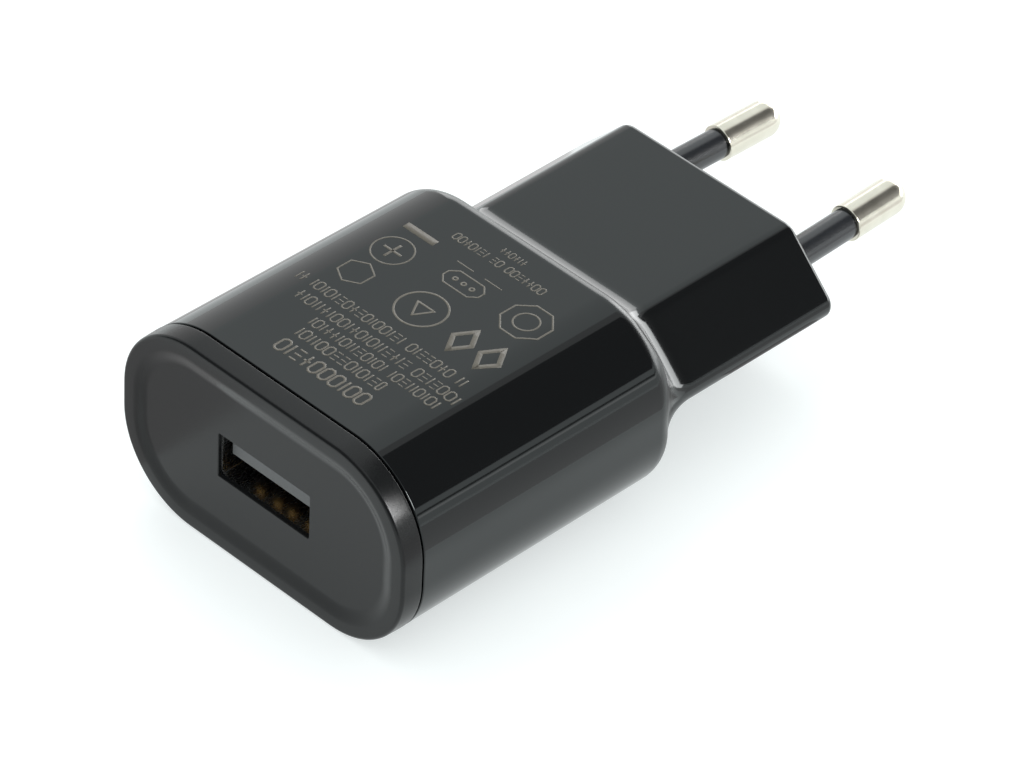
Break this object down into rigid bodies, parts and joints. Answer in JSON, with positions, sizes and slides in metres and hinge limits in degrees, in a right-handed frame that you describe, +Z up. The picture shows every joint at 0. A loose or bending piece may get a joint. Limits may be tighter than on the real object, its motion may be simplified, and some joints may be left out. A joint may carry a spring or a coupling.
{
  "type": "usb wall charger",
  "caption": "Compact mains charger: rounded block with a dished front cap around a USB-A socket, stepping down to a slanted-sided plug body with sleeved round pins.",
  "frame": {"origin": "under the middle of the whole object, on the plane that it lies on", "axes": "+Y from the socket face to the pin tips, +Z up from the flat side that it lies on, +X across the pins"},
  "size_m": [0.0394, 0.0802, 0.0224],
  "materials": {
    "front_cap": "fine-textured matte dark grey polycarbonate",
    "main_shell": "polished black polycarbonate",
    "pin_left": "bright nickel plate on brass",
    "pin_right": "bright nickel plate on brass",
    "pin_sleeve_left": "satin black insulating sleeve",
    "pin_sleeve_right": "satin black insulating sleeve",
    "mains_lead_left": "dark red wire insulation",
    "mains_lead_right": "dark red wire insulation",
    "usb_shell": "nickel-plated folded steel",
    "usb_insulator": "dark grey glass-filled nylon",
    "usb_contacts": "gold-flashed copper alloy",
    "circuit_board": "green solder mask on glass-epoxy board",
    "transformer_core_front": "sintered dark grey ferrite",
    "transformer_core_rear": "sintered dark grey ferrite",
    "transformer_bobbin": "black phenolic moulding",
    "primary_winding": "enamelled copper wire",
    "secondary_winding": "triple-insulated wire",
    "transformer_tape": "yellow polyester tape",
    "transformer_pins": "tinned copper-clad steel",
    "bulk_capacitor_left": "dark shrink sleeve over an aluminium can",
    "bulk_capacitor_right": "dark shrink sleeve over an aluminium can",
    "bulk_capacitor_bungs": "black rubber bung",
    "bulk_capacitor_leads": "tinned lead wire",
    "output_capacitors": "bare aluminium can",
    "output_capacitor_bases": "black base with tinned leads",
    "input_choke_core": "ferrite drum with tinned leads",
    "input_choke_winding": "enamelled copper wire",
    "fuse_body": "tan ceramic tube",
    "fuse_caps": "tinned caps and leads",
    "y_capacitor": "blue epoxy coating",
    "y_capacitor_leads": "tinned lead wire",
    "bridge_rectifier": "black moulded package",
    "primary_controller": "black moulded package",
    "output_rectifier": "black moulded package",
    "protocol_chip": "black moulded package",
    "optocoupler": "white moulded package",
    "chip_legs": "tinned chip legs",
    "chip_resistors": "black-topped ceramic chips",
    "chip_capacitors": "tan ceramic chips",
    "solder_joints": "solder",
    "insulation_barrier": "cream insulating sheet"
  },
  "bodies": {
    "root": {"front_cap": "front_cap", "main_shell": "main_shell", "pin_left": "pin_left", "pin_right": "pin_right", "pin_sleeve_left": "pin_sleeve_left", "pin_sleeve_right": "pin_sleeve_right", "mains_lead_left": "mains_lead_left", "mains_lead_right": "mains_lead_right", "usb_shell": "usb_shell", "usb_insulator": "usb_insulator", "usb_contacts": "usb_contacts", "circuit_board": "circuit_board", "transformer_core_front": "transformer_core_front", "transformer_core_rear": "transformer_core_rear", "transformer_bobbin": "transformer_bobbin", "primary_winding": "primary_winding", "secondary_winding": "secondary_winding", "transformer_tape": "transformer_tape", "transformer_pins": "transformer_pins", "bulk_capacitor_left": "bulk_capacitor_left", "bulk_capacitor_right": "bulk_capacitor_right", "bulk_capacitor_bungs": "bulk_capacitor_bungs", "bulk_capacitor_leads": "bulk_capacitor_leads", "output_capacitors": "output_capacitors", "output_capacitor_bases": "output_capacitor_bases", "input_choke_core": "input_choke_core", "input_choke_winding": "input_choke_winding", "fuse_body": "fuse_body", "fuse_caps": "fuse_caps", "y_capacitor": "y_capacitor", "y_capacitor_leads": "y_capacitor_leads", "bridge_rectifier": "bridge_rectifier", "primary_controller": "primary_controller", "output_rectifier": "output_rectifier", "protocol_chip": "protocol_chip", "optocoupler": "optocoupler", "chip_legs": "chip_legs", "chip_resistors": "chip_resistors", "chip_capacitors": "chip_capacitors", "solder_joints": "solder_joints", "insulation_barrier": "insulation_barrier"}
  },
  "joints": []
}
